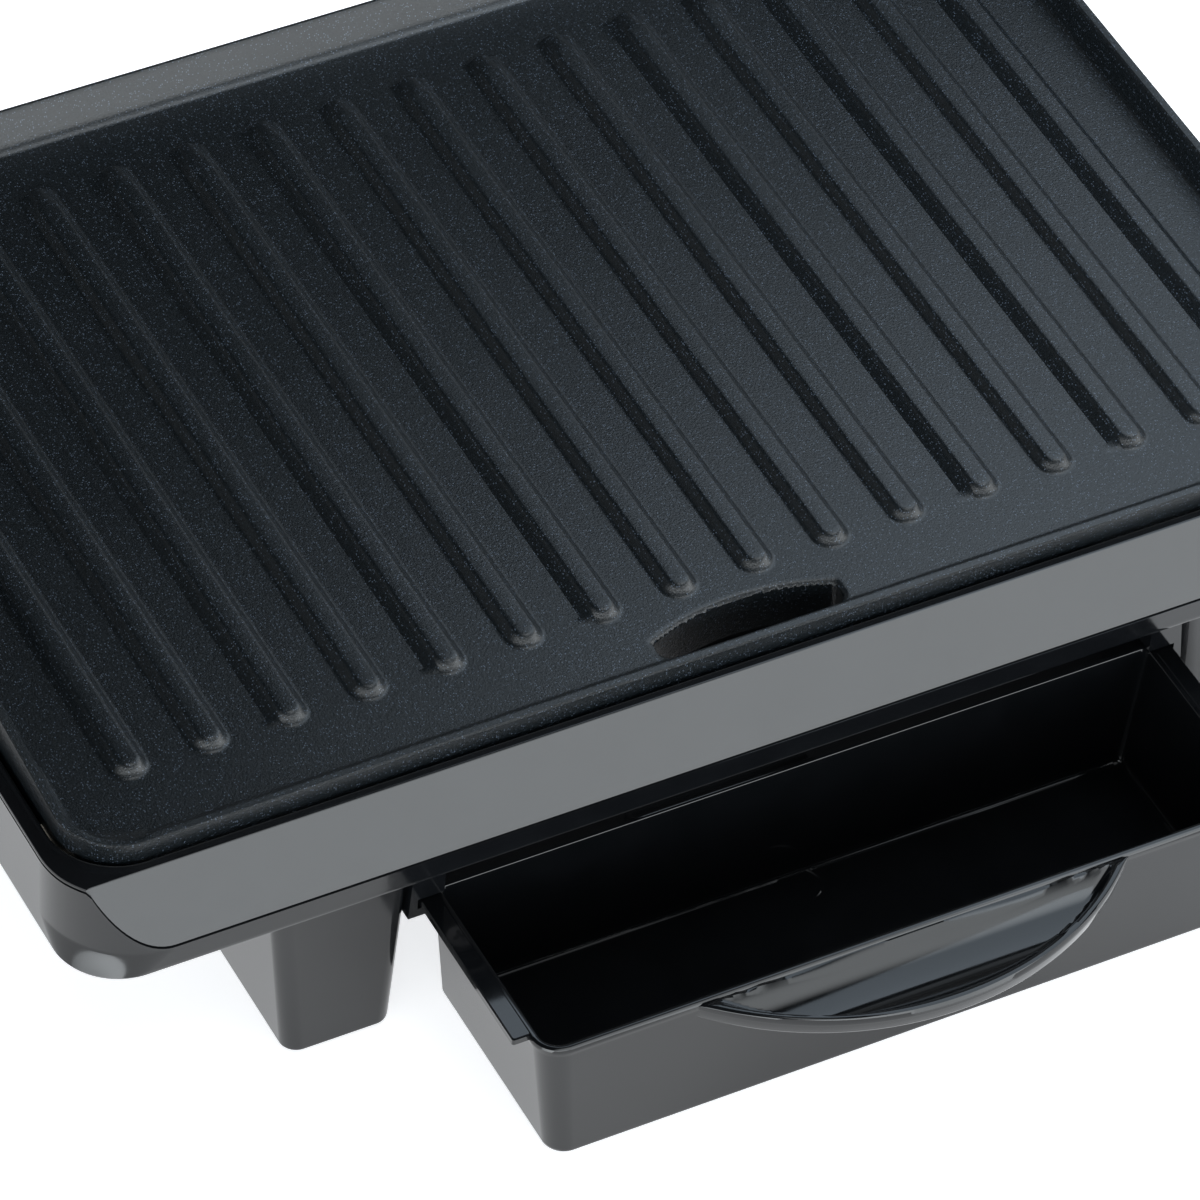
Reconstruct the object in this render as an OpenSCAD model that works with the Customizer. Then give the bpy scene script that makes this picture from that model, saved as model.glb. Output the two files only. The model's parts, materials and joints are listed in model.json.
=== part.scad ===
// Electric griddle: a ribbed lift-out plate in a low moulded base on four
// legs, with a drip drawer between the front legs and a control pod at the
// right-hand front corner.
// Origin: on the table, midway between the legs.
// +X is to the user's right, +Y to the back, +Z up. Millimetres.

/* [Base] */
// Width of the base over its left wall and the control pod
base_w = 342; // [340:1:346]
// Depth of the base over the skirt
base_d = 222; // [222:1:226]
// Height of the skirt's lower edge above the table
skirt_z = 52; // [51:1:54]
// Height of the base from the skirt's lower edge to its rim
base_h = 22; // [22:1:23]
// Radius of the base's upright corners
corner_r = 14; // [12:1:16]
// Thickness of the moulded walls
wall = 2.6; // [2.4:0.1:2.8]
// How far the front band leans back over its height
band_lean = 8; // [7:0.5:8]
// Height of the front band
band_h = 16; // [15:0.5:16]
// Length of the finger hollow under each side
grip_l = 142; // [130:1:142]
// Height of the finger hollow
grip_h = 10; // [8:1:10]
// Depth of the finger hollow into the side
grip_in = 12; // [10:1:12]

/* [Grill plate] */
// Width of the plate over its rim
plate_w = 311; // [309:1:311]
// Depth of the plate over its rim
plate_d = 207; // [205:1:207]
// Sideways offset of the plate, which leaves room for the control strip
plate_x = -10.5; // [-11:0.5:-10]
// Height of the cooking floor above the table
cook_z = 77; // [77:0.5:78]
// Thickness of the cooking floor
floor_t = 3.5; // [3:0.1:3.5]
// Height of the side and back rim above the cooking floor
rim_rise = 8; // [7:0.5:9]
// Height of the front lip above the cooking floor
lip_rise = 1; // [0.8:0.1:1.5]
// Length over which the side rim rises from the front lip
rim_run = 61; // [50:1:70]
// Number of ribs
rib_count = 16; // [12:2:16]
// Distance from rib to rib
rib_pitch = 18; // [16:0.5:18]
// Length of a rib over its rounded ends
rib_l = 169; // [150:1:169]
// Width of a rib at its foot
rib_w = 7; // [6:0.5:8]
// Height of a rib
rib_h = 2.4; // [2:0.1:3]
// Width of the drip slot
slot_w = 43; // [38:1:43]
// Front-to-back size of the drip slot
slot_d = 10; // [8:0.5:10]

/* [Drip drawer] */
// Width of the drawer over its two slide flanges
drawer_w = 180; // [179.6:0.1:180]
// Depth of the drawer, without its handle
drawer_d = 53.5; // [50:0.5:53.5]
// Height of the drawer's rim above the table
drawer_top = 35.8; // [35.6:0.1:35.8]
// How far the drawer stands out from its closed place
drawer_out = 48; // [30:1:48]
// Radius of the handle's round front
handle_r = 72; // [66:1:78]
// How far the handle stands out from the drawer's front
handle_reach = 21; // [16:1:22]

/* [Legs] */
// Width of a leg where it meets the base
leg_top_w = 32.8; // [30:0.2:34]
// Width of a leg at its foot
leg_foot_w = 24.8; // [24:0.2:26]
// Depth of a leg where it meets the base
leg_d = 55; // [52:1:56]
// Clear width between the legs at the base
leg_gap = 182; // [182:1:184]
// Thickness of the rubber foot pads
pad_t = 2.2; // [2:0.1:3]

/* [Heating] */
// Radius of the heating tube
tube_r = 3.3; // [3:0.1:3.3]
// Distance between the tube's runs
run_pitch = 40; // [38:1:42]

/* [Controls] */
// Radius of the control knob
knob_r = 9.5; // [8:0.5:10]
// Height of the control knob
knob_h = 10.5; // [9:0.5:12]
// Radius of the thermostat's shaft
shaft_r = 2.97; // [2.95:0.01:2.98]

/* [Hidden] */

$fn = 48;
gloss_black = "#2a2c30";
plate_black = "#343841";
rubber_black = "#1b1b1c";
cover_grey = "#3a3c40";
bright_tin = "#b9bcc0";
tube_grey = "#6c6e70";

// Base heights and edges
rim_z = skirt_z + base_h;
deck_t = 2.5;
cavity_top = rim_z - deck_t;
side_x = base_w / 2;
end_y = base_d / 2;
pod_back = -4;
pod_r = 5;
pod_in = 100;
band_top_y = -end_y + band_lean;
crease_z = rim_z - band_h;
cover_z = skirt_z + 1;
cover_t = 2;
cover_top = cover_z + cover_t;

// Plate edges
plate_gap = 1.1;
plate_front = band_top_y + 2.4 + plate_gap;
plate_y = plate_front + plate_d / 2;
plate_r = 14;
skirt_t = 3;
plate_foot = cook_z - 6;
rib_front = plate_front + 18.5;
rib_round = (pow(rib_w / 2, 2) + pow(rib_h, 2)) / (2 * rib_h);
slot_y = plate_front + 8.5;
slot_arc = 55;
well_w = plate_w + 2 * plate_gap;
well_d = plate_d + 2 * plate_gap;
well_right = plate_x + well_w / 2;
right_x = 2 * plate_x + side_x;
divider_t = 2.5;
divider_foot = 57;

// Ledges that carry the plate's seats
ledge = [7.5, 16, 5.9];
ledge_z = 62;
seat_y = 86;

// Legs, drawer and rails
leg_y = end_y - 9;
leg_foot_z = 1.2;
leg_wall = 2.4;
leg_slope = (leg_top_w - leg_foot_w) / 2 / (cover_z - leg_foot_z);
leg_inner = leg_gap / 2;
boss_ys = [leg_y - 40, leg_y - 12];
leg_boss_x = leg_inner + leg_top_w / 2;
drawer_wall = 2;
flange_w = 3.4;
flange_t = 2;
drawer_front = -leg_y - 2 - drawer_out;
drawer_foot = 1.6;
drawer_draft = 4.1;
drawer_lean = 1.4;
drawer_r = 6;
drawer_back_r = 1.4;
flange_back = 7.2;
back_lip = [166, 4];
handle_t = 5;
dish_r = 15.5;
dish_lip = 2;
dish_y = -10;
dish_z = 12;
rail_front = -leg_y;
rail_back = rail_front + leg_d;
rail_play = 0.4;
rail_in = leg_inner - 6.7;
rail_screw_x = leg_inner - 3.5;
rail_screw_ys = [rail_front + 10, rail_front + 42];

// Heating parts
pan_floor = 60;
pan_t = 0.8;
pan_w = 285;
pan_d = 177;
pan_x = -7.5;
pan_y = 9.5;
tube_z = plate_foot + 2.5 - 0.4 - tube_r;
run_y = [for (i = [0:3]) -55 + i * run_pitch];
bend_x = [-105, 85];
tube_end = 126;
pin_z = tube_z - 2;
pin_r = 1.25;
pin_end = 153.5;
insulator_r = 2.6;
pin_short = 139.5;
insulator_x = [137, 127];
insulator_end = [well_right + 4, 133.5];
pin_ends = [pin_end, pin_short];
pin_y = [run_y[0], run_y[3]];
spacer_at = [for (x = [-120, 105], y = [-35, 75]) [x, y]];
saddle_x = [-60, 50];

// Control strip
strip_x = (well_right + side_x) / 2;
knob_y = -end_y + 23;
lamp_y = -62;
lens_r = 2.4;
gland_x = 158.2;
gland_z = 63;
gland_r = 5.5;
cord_r = 3.6;
block = [14, 18, 10.5];
block_y = -36;
fuse_y = -58;
fuse_l = 14;
live_z = 67.5;
wire_r = 1.1;
tab_x = 122;
earth_y = block_y + 5;
earth_z = 68;
return_y = block_y + 14;
bushing_r = 4.4;

// Screws
screw_r = 1.45;
pilot_r = 1.5;
clear_r = 1.9;
head_r = 3;
head_h = 2;
boss_r = 3.6;
boss_in = wall + head_r + 0.3;
base_bosses = [
    [-side_x + boss_in, -end_y + 16], [-side_x + boss_in, end_y - 16],
    [well_right + divider_t + 3, -66], [right_x - 7, end_y - 12],
    [-80, -end_y + 9], [70, -end_y + 9], [-10, end_y - boss_in]];

// A rectangle with round corners, centred
module rounded_rect(w, d, r) {
    square([w - 2 * r, d], center = true);
    square([w, d - 2 * r], center = true);
    for (x = [-1, 1], y = [-1, 1])
        translate([x * (w / 2 - r), y * (d / 2 - r)]) circle(r);
}

// A rounded block between two heights
module rounded_block(w, d, r, z0, z1) {
    translate([0, 0, z0]) linear_extrude(z1 - z0) rounded_rect(w, d, r);
}

// A rounded block whose sides lean: its foot and top are given separately
module leaning_block(foot, foot_at, top, top_at, r, z0, z1) {
    skin = 0.02;
    hull() {
        translate([foot_at[0], foot_at[1], z0])
            linear_extrude(skin) rounded_rect(foot[0], foot[1], r);
        translate([top_at[0], top_at[1], z1 - skin])
            linear_extrude(skin) rounded_rect(top[0], top[1], r);
    }
}

// An outline in the Y-Z plane drawn out along X
module along_x(x0, x1) {
    translate([x0, 0, 0]) rotate([90, 0, 90]) linear_extrude(x1 - x0) children();
}

// An outline in the X-Z plane drawn out along Y
module along_y(y0, y1) {
    translate([0, y1, 0]) rotate([90, 0, 0]) linear_extrude(y1 - y0) children();
}

// A rod along X
module rod_x(x0, x1, y, z, r) {
    translate([x0, y, z]) rotate([0, 90, 0]) cylinder(h = x1 - x0, r = r);
}

// A copy for one corner; the child is drawn for the right-hand rear corner
module at_corner(sx, sy) {
    mirror([sx < 0 ? 1 : 0, 0, 0]) mirror([0, sy < 0 ? 1 : 0, 0]) children();
}

// A wire through a list of points; a slightly larger ball closes each turn
module wire(path, r) {
    for (i = [0:len(path) - 2]) {
        step = path[i + 1] - path[i];
        run = norm(step);
        translate(path[i])
            rotate([0, acos(step[2] / run), atan2(step[1], step[0])])
                cylinder(h = run, r = r, $fn = 24);
        if (i > 0) translate(path[i]) sphere(r * 1.08, $fn = 24);
    }
}

// A pan-head screw at the origin, its shank down, its head above
module screw(shank) {
    translate([0, 0, -shank]) cylinder(h = shank, r = screw_r);
    difference() {
        cylinder(h = head_h, r = head_r);
        for (a = [0, 90])
            rotate(a) translate([0, 0, head_h]) cube([3.4, 0.8, 1.6], center = true);
    }
}

// The base's upright block, drawn in by an inset: the main part under the
// plate and the control pod at the right-hand front corner
module base_block(inset, z0, z1) {
    main_w = right_x + side_x;
    pod_w = side_x - pod_in;
    lap = 40;
    translate([(right_x - side_x) / 2, 0, 0])
        rounded_block(main_w - 2 * inset, base_d - 2 * inset, corner_r - inset, z0, z1);
    translate([pod_in + pod_w / 2, (pod_back - lap - end_y) / 2, 0])
        rounded_block(pod_w - 2 * inset, pod_back - lap + end_y - 2 * inset,
                      corner_r - inset, z0, z1);
    translate([pod_in + pod_w / 2, pod_back - lap, 0])
        rounded_block(pod_w - 2 * inset, 2 * lap - 2 * inset, pod_r - inset, z0, z1);
}

// The base's outside form, drawn in by an inset, with the leaning front band
module base_form(inset, z0, z1) {
    slope = sqrt(pow(band_lean, 2) + pow(band_h, 2));
    shift = [inset * band_h / slope, -inset * band_lean / slope];
    reach = 0.6;
    upper = [band_top_y + reach * band_lean, rim_z + reach * band_h];
    lower = [-end_y - reach * band_lean, crease_z - reach * band_h];
    difference() {
        base_block(inset, z0, z1);
        along_x(-side_x - 1, side_x + 1)
            translate(shift)
                polygon([upper, lower, [-end_y - 40, lower[1]], [-end_y - 40, upper[1]]]);
    }
}

// Side view of the finger hollow, grown by a margin
module grip_outline(grow) {
    ramp = 6;
    half = grip_l / 2 + grow;
    polygon([[-half - 0.5, skirt_z - 1], [-half + ramp, skirt_z + grip_h + grow],
             [half - ramp, skirt_z + grip_h + grow], [half + 0.5, skirt_z - 1]]);
}

// Opening that the plate stands in
module plate_well() {
    translate([plate_x, plate_y, 0])
        rounded_block(well_w, well_d, plate_r + plate_gap, cavity_top - 0.5, rim_z + 1);
}

// The four ledges' places; the child is drawn for the left-hand side, its
// x = 0 at the edge of the plate's well
module at_ledges() {
    for (y = [-seat_y, seat_y]) {
        translate([-well_right + 2 * plate_x, y, 0]) children();
        translate([well_right, y, 0]) mirror([1, 0, 0]) children();
    }
}

module base_frame() {
    color(gloss_black) difference() {
        union() {
            difference() {
                base_form(0, skirt_z, rim_z);
                base_form(wall, skirt_z - 1, cavity_top);
                plate_well();
            }
            intersection() {
                along_x(1 - side_x, -side_x + grip_in + wall) grip_outline(wall);
                translate([-side_x, -end_y, skirt_z]) cube([side_x, base_d, base_h - 1]);
            }
            translate([well_right, -end_y + 12, divider_foot])
                cube([divider_t, pod_back + end_y - 13, cavity_top - divider_foot + 0.1]);
            for (p = base_bosses)
                translate([p[0], p[1], cover_top])
                    cylinder(h = 11, r = boss_r);
            at_ledges()
                translate([-1.4, -ledge[1] / 2, ledge_z])
                    cube([ledge[0] + 1.4, ledge[1], ledge[2]]);
        }
        along_x(-side_x - 1, -side_x + grip_in) grip_outline(0);
        for (p = base_bosses)
            translate([p[0], p[1], cover_top - 1]) cylinder(h = 10, r = pilot_r);
        translate([strip_x, knob_y, cavity_top - 1]) cylinder(h = 5, r = bushing_r + 0.2);
        translate([strip_x, lamp_y, cavity_top - 1]) cylinder(h = 5, r = lens_r + 0.1);
        translate([gland_x, pod_back + 1, gland_z])
            rotate([90, 0, 0]) cylinder(h = 5, r = gland_r + 0.1);
        rod_x(well_right - 1, well_right + divider_t + 1, run_y[0], pin_z, insulator_r + 0.2);
        rod_x(well_right - 1, well_right + divider_t + 1, return_y, pin_z, wire_r + 0.4);
        rod_x(well_right - 1, well_right + divider_t + 1, earth_y, earth_z, wire_r + 0.4);
    }
}

module bottom_cover() {
    gap = 0.3;
    slot_l = 46;
    color(cover_grey) difference() {
        base_block(wall + gap, cover_z, cover_top);
        translate([-side_x, 0, cover_z])
            cube([2 * (grip_in + wall + gap), grip_l + 10, 10], center = true);
        for (p = base_bosses)
            translate([p[0], p[1], cover_z - 1]) cylinder(h = 4, r = clear_r);
        for (sx = [-1, 1], sy = [-1, 1], y = boss_ys)
            translate([sx * leg_boss_x, sy * y, cover_z - 1]) cylinder(h = 4, r = clear_r);
        for (sx = [-1, 1], y = rail_screw_ys)
            translate([sx * rail_screw_x, y, cover_z - 1]) cylinder(h = 4, r = clear_r);
        for (p = spacer_at)
            translate([p[0], p[1], cover_z - 1]) cylinder(h = 4, r = pilot_r);
        translate([plate_x, slot_y, cover_z - 1])
            linear_extrude(4) square([44.6, 13.6], center = true);
        for (i = [0:6], x = [-58, 58])
            translate([x, -12 + i * 14, cover_z - 1])
                linear_extrude(4) rounded_rect(slot_l, 4, 1.9);
    }
}

// One leg, drawn for the right-hand rear corner
module leg() {
    foot_d = leg_d - 4;
    top_at = [leg_boss_x, leg_y - leg_d / 2];
    foot_at = [leg_boss_x, leg_y - foot_d / 2];
    difference() {
        union() {
            difference() {
                leaning_block([leg_foot_w, foot_d], foot_at, [leg_top_w, leg_d], top_at,
                              4, leg_foot_z, cover_z);
                leaning_block([leg_foot_w - 2 * leg_wall, foot_d - 2 * leg_wall], foot_at,
                              [leg_top_w - 2 * leg_wall, leg_d - 2 * leg_wall], top_at,
                              1.8, leg_foot_z + 2.4, cover_z + 0.1);
            }
            for (y = boss_ys)
                translate([leg_boss_x, y, leg_foot_z + 2.2])
                    cylinder(h = cover_z - leg_foot_z - 2.2, r = boss_r);
        }
        for (y = boss_ys)
            translate([leg_boss_x, y, cover_z - 17]) cylinder(h = 18, r = pilot_r);
        translate([foot_at[0], foot_at[1], 0])
            rounded_block(18.4, 38.4, 4.2, leg_foot_z - 1, pad_t);
    }
}

// One foot pad, drawn for the right-hand rear corner
module pad() {
    translate([leg_boss_x, leg_y - leg_d / 2 + 2, 0]) rounded_block(18, 38, 4, 0, pad_t);
}

module front_left_leg() { color(gloss_black) at_corner(-1, -1) leg(); }
module front_right_leg() { color(gloss_black) at_corner(1, -1) leg(); }
module rear_left_leg() { color(gloss_black) at_corner(-1, 1) leg(); }
module rear_right_leg() { color(gloss_black) at_corner(1, 1) leg(); }
module front_left_pad() { color(rubber_black) at_corner(-1, -1) pad(); }
module front_right_pad() { color(rubber_black) at_corner(1, -1) pad(); }
module rear_left_pad() { color(rubber_black) at_corner(-1, 1) pad(); }
module rear_right_pad() { color(rubber_black) at_corner(1, 1) pad(); }

// One drawer rail on the inner side of a front leg, drawn for the right
module rail() {
    lip_t = 2.2;
    groove = [drawer_top - flange_t - rail_play, drawer_top + rail_play];
    groove_x = drawer_w / 2 + rail_play + 0.1;
    foot = groove[0] - lip_t;
    back_x = function(z) leg_inner - 0.05 + leg_slope * (cover_z - z);
    difference() {
        along_y(rail_front, rail_back)
            polygon([[rail_in, cover_z], [back_x(cover_z), cover_z], [back_x(foot), foot],
                     [drawer_w / 2 - flange_w + 0.6, foot],
                     [drawer_w / 2 - flange_w + 0.6, groove[1]], [rail_in, groove[1]]]);
        along_y(rail_front - 1, rail_back - 2.5)
            polygon([[rail_in, groove[0]], [groove_x, groove[0]],
                     [groove_x, groove[1]], [rail_in, groove[1]]]);
        for (y = rail_screw_ys)
            translate([rail_screw_x, y, cover_z - 13]) cylinder(h = 14, r = pilot_r);
    }
}

module drawer_rail_right() { color(gloss_black) rail(); }
module drawer_rail_left() { color(gloss_black) mirror([1, 0, 0]) rail(); }

module reflector_pan() {
    color(bright_tin) translate([pan_x, pan_y, 0]) difference() {
        rounded_block(pan_w, pan_d, 10, pan_floor - pan_t, pan_floor + 5.5);
        rounded_block(pan_w - 2 * pan_t, pan_d - 2 * pan_t, 10 - pan_t,
                      pan_floor, pan_floor + 7);
        for (p = spacer_at)
            translate([p[0] - pan_x, p[1] - pan_y, pan_floor - 2]) cylinder(h = 4, r = clear_r);
    }
}

module pan_spacers() {
    color("#d8d3c6") for (p = spacer_at)
        translate([p[0], p[1], cover_top]) difference() {
            cylinder(h = pan_floor - pan_t - cover_top, r = 5);
            translate([0, 0, -1]) cylinder(h = 8, r = clear_r);
        }
}

module pan_screws() {
    color(bright_tin) for (p = spacer_at)
        translate([p[0], p[1], pan_floor]) screw(6.6);
}

module heating_element() {
    color(tube_grey) {
        for (i = [0:3])
            rod_x(bend_x[0], i == 0 || i == 3 ? tube_end : bend_x[1], run_y[i], tube_z, tube_r);
        for (i = [0, 2])
            translate([bend_x[0], run_y[i] + run_pitch / 2, tube_z]) rotate(90)
                rotate_extrude(angle = 180) translate([run_pitch / 2, 0]) circle(tube_r);
        translate([bend_x[1], run_y[1] + run_pitch / 2, tube_z]) rotate(-90)
            rotate_extrude(angle = 180) translate([run_pitch / 2, 0]) circle(tube_r);
        for (i = [0, 1]) rod_x(tube_end - 1, pin_ends[i], pin_y[i], pin_z, pin_r);
    }
}

module element_saddles() {
    color(bright_tin) for (x = saddle_x, i = [0, 3])
        difference() {
            translate([x, run_y[i] - 5.5, pan_floor]) cube([9, 11, tube_z - pan_floor]);
            rod_x(x - 1, x + 10, run_y[i], tube_z, tube_r + 0.05);
        }
}

module element_insulators() {
    color("#e8e4da") for (i = [0, 1])
        difference() {
            rod_x(insulator_x[i], insulator_end[i], pin_y[i], pin_z, insulator_r);
            rod_x(tube_end, pin_ends[i], pin_y[i], pin_z, pin_r + 0.05);
        }
}

module crimp_sleeves() {
    color("#c9c4b0") for (i = [0, 1])
        difference() {
            rod_x(pin_ends[i] - 2.5, pin_ends[i] + 2, pin_y[i], pin_z, 1.7);
            rod_x(pin_ends[i] - 3, pin_ends[i], pin_y[i], pin_z, pin_r + 0.05);
        }
}

module plate_seats() {
    seat = [6, 12, plate_foot - 0.1 - ledge_z - ledge[2]];
    color("#d8d3c6") at_ledges()
        translate([0.8, -seat[1] / 2, ledge_z + ledge[2]]) cube(seat);
}

module drip_chute() {
    mouth = [55, 17.4];
    color(bright_tin) translate([plate_x, slot_y, 0]) difference() {
        union() {
            translate([0, 0, cover_top]) linear_extrude(1) square([62, 21], center = true);
            translate([0, 0, cover_top]) linear_extrude(13) square(mouth, center = true);
            translate([0, 0, 50.5]) linear_extrude(6) square([44, 13], center = true);
        }
        translate([0, 0, 57]) linear_extrude(20)
            square([mouth[0] - 2, mouth[1] - 2], center = true);
        translate([0, 0, 50]) linear_extrude(20) square([42, 11], center = true);
    }
}

module thermostat_body() {
    body = [15.5, 22, 11];
    color("#4a3a2c") translate([strip_x, knob_y, 0]) difference() {
        union() {
            translate([-body[0] / 2, -body[1] / 2, divider_foot]) cube(body);
            translate([0, 0, divider_foot + body[2] - 0.1])
                cylinder(h = rim_z - divider_foot - body[2] + 1.2, r = bushing_r);
        }
        translate([0, 0, divider_foot + 3]) cylinder(h = 40, r = shaft_r + 0.05);
    }
}

module bushing_nut() {
    color("#b08d4a") translate([strip_x, knob_y, rim_z]) difference() {
        cylinder(h = 1, r = 5.8, $fn = 6);
        translate([0, 0, -1]) cylinder(h = 3, r = bushing_r + 0.05);
    }
}

module dial_ring() {
    color("#c8cacd") translate([strip_x, knob_y, rim_z]) difference() {
        cylinder(h = 0.6, r = 11.2);
        translate([0, 0, -1]) cylinder(h = 3, r = 6);
        for (a = [0:30:270])
            rotate(-a) translate([0, 10.4, 0.6]) cube([0.5, 1, 0.4], center = true);
    }
}

module thermostat_shaft() {
    color(bright_tin) translate([strip_x, knob_y, divider_foot + 3.5])
        cylinder(h = rim_z + knob_h - divider_foot - 5.5, r = shaft_r);
}

module control_knob() {
    foot = rim_z + 1.6;
    flutes = 12;
    color(gloss_black) translate([strip_x, knob_y, foot]) difference() {
        union() {
            cylinder(h = knob_h - 1, r = knob_r);
            translate([0, 0, knob_h - 1]) cylinder(h = 1, r1 = knob_r, r2 = knob_r - 1);
        }
        translate([0, 0, -1]) cylinder(h = knob_h - 1.4, r = shaft_r + 0.04);
        for (i = [1:flutes - 1])
            rotate(i * 360 / flutes) translate([0, knob_r + 1.2, -1]) cylinder(h = 20, r = 1.8);
        translate([0, knob_r / 2 + 1, knob_h]) cube([1.2, knob_r - 2, 0.8], center = true);
    }
}

module pilot_lens() {
    color("#c33a2a") translate([strip_x, lamp_y, cavity_top - 0.4]) {
        cylinder(h = deck_t + 0.4, r = lens_r);
        translate([0, 0, deck_t + 0.4]) cylinder(h = 0.8, r1 = lens_r + 0.8, r2 = lens_r);
    }
}

module pilot_lamp() {
    color("#e9d9b8") translate([strip_x, lamp_y, 65.2]) {
        cylinder(h = 4, r = 1.8);
        translate([0, 0, 4]) sphere(1.8);
    }
}

module lamp_leads() {
    z = 66.2;
    color("#8a8c8f") {
        wire([[strip_x - 0.8, lamp_y - 1.9, z], [strip_x - 0.8, lamp_y - 9, z],
              [strip_x - 0.8, knob_y + 11.4, z - 3]], 0.6);
        wire([[strip_x, lamp_y + 1.9, z], [strip_x, block_y - 0.3, z]], 0.6);
    }
}

module thermal_fuse() {
    color(bright_tin) translate([strip_x + 4, fuse_y, live_z]) rotate([-90, 0, 0])
        cylinder(h = fuse_l, r = 2);
}

module wire_live() {
    x = strip_x + 4;
    color("#7a3b20") {
        wire([[x, block_y - 0.5, live_z - 1.2], [x, fuse_y + fuse_l + 0.3, live_z]], wire_r);
        wire([[x, fuse_y - 0.3, live_z], [x, -70, live_z], [x, knob_y + 11.7, live_z - 4]],
             wire_r);
    }
}

module wire_heater() {
    x = pin_end - 0.5;
    color("#b9b4a8")
        wire([[x, knob_y + 11.8, 63.5], [x, -71, pin_z], [x, run_y[0] - 1.8, pin_z]], wire_r);
}

module wire_return() {
    x = pin_short - 0.5;
    color("#2d5b8a")
        wire([[x, run_y[3] - 1.8, pin_z], [x, return_y, pin_z],
              [strip_x - block[0] / 2 - 0.2, return_y, pin_z]], wire_r);
}

module earth_tab() {
    color(bright_tin) translate([tab_x, earth_y - 4, pan_floor]) {
        cube([9, 8, 0.8]);
        cube([0.8, 8, 4]);
        translate([5, 4, 0.8]) cylinder(h = 1.6, r = 2.4);
    }
}

module wire_earth() {
    color("#6f9a3a")
        wire([[tab_x + 5, earth_y, pan_floor + 2.5], [tab_x + 5, earth_y, earth_z],
              [strip_x - block[0] / 2 - 0.2, earth_y, earth_z]], wire_r);
}

module terminal_block() {
    color("#e6e2d8") translate([strip_x - block[0] / 2, block_y, 57.5]) difference() {
        cube(block);
        for (i = [0:2], y = [4.5, 13.5])
            translate([2.6 + i * 4.4, y, block[2] - 3]) cylinder(h = 4, r = 1.5);
    }
}

module cord_gland() {
    color(rubber_black) translate([gland_x, pod_back, gland_z]) rotate([-90, 0, 0])
        difference() {
            union() {
                translate([0, 0, -13]) cylinder(h = 13, r = gland_r);
                cylinder(h = 2.5, r = 7.6);
            }
            translate([0, 0, -14]) cylinder(h = 20, r = cord_r);
        }
}

module gland_nut() {
    color(rubber_black) translate([gland_x, pod_back - wall, gland_z]) rotate([90, 0, 0])
        difference() {
            cylinder(h = 4, r = 7.6, $fn = 6);
            translate([0, 0, -1]) cylinder(h = 6, r = gland_r + 0.05);
        }
}

module bottom_screws() {
    color(tube_grey) for (p = base_bosses)
        translate([p[0], p[1], cover_z]) rotate([180, 0, 0]) screw(10);
}

module leg_screws() {
    color(tube_grey) for (sx = [-1, 1], sy = [-1, 1], y = boss_ys)
        translate([sx * leg_boss_x, sy * y, cover_top]) screw(16);
}

module rail_screws() {
    color(tube_grey) for (sx = [-1, 1], y = rail_screw_ys)
        translate([sx * rail_screw_x, y, cover_top]) screw(13);
}

// The drip slot's outline: a flat front, a bowed back and round ends
module slot_outline(grow) {
    translate([plate_x, slot_y]) intersection() {
        rounded_rect(slot_w + 2 * grow, slot_d + 2 * grow, 3 + grow);
        translate([0, slot_d / 2 - slot_arc]) circle(slot_arc + grow, $fn = 180);
    }
}

// The ribs: low rounded bars with domed ends, standing on the cooking floor
module ribs() {
    centre_z = cook_z + rib_h - rib_round;
    reach = sqrt(pow(rib_round, 2) - pow(rib_round - rib_h, 2));
    intersection() {
        for (i = [0:rib_count - 1])
            translate([plate_x + (i - (rib_count - 1) / 2) * rib_pitch, 0, centre_z]) {
                translate([0, rib_front + reach, 0]) rotate([-90, 0, 0])
                    cylinder(h = rib_l - 2 * reach, r = rib_round, $fn = 32);
                for (y = [rib_front + reach, rib_front + rib_l - reach])
                    translate([0, y, 0]) sphere(rib_round, $fn = 32);
            }
        translate([plate_x - plate_w / 2, plate_front, cook_z - 0.5])
            cube([plate_w, plate_d, 10]);
    }
}

module grill_plate() {
    side_in = 3;
    back_in = 4.5;
    front_in = 2.3;
    rim_top = cook_z + rim_rise;
    pool_d = plate_d - back_in - front_in;
    color(plate_black) difference() {
        union() {
            difference() {
                translate([plate_x, plate_y, 0])
                    rounded_block(plate_w, plate_d, plate_r, plate_foot, rim_top);
                translate([plate_x, plate_front + front_in + pool_d / 2, 0])
                    rounded_block(plate_w - 2 * side_in, pool_d, plate_r - side_in,
                                  cook_z, rim_top + 1);
                translate([plate_x, plate_y, 0])
                    rounded_block(plate_w - 2 * skirt_t, plate_d - 2 * skirt_t,
                                  plate_r - skirt_t, plate_foot - 1, cook_z - floor_t);
                along_x(plate_x - plate_w, plate_x + plate_w)
                    polygon([[plate_front - 5, cook_z + lip_rise],
                             [plate_front, cook_z + lip_rise],
                             [plate_front + rim_run, rim_top],
                             [plate_front + rim_run, rim_top + 5],
                             [plate_front - 5, rim_top + 5]]);
            }
            ribs();
            translate([plate_x - 24.5, slot_y - 6.5, plate_foot - 5])
                cube([49, 13, 8]);
        }
        translate([0, 0, plate_foot - 6]) linear_extrude(20) slot_outline(0);
    }
}

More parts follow.
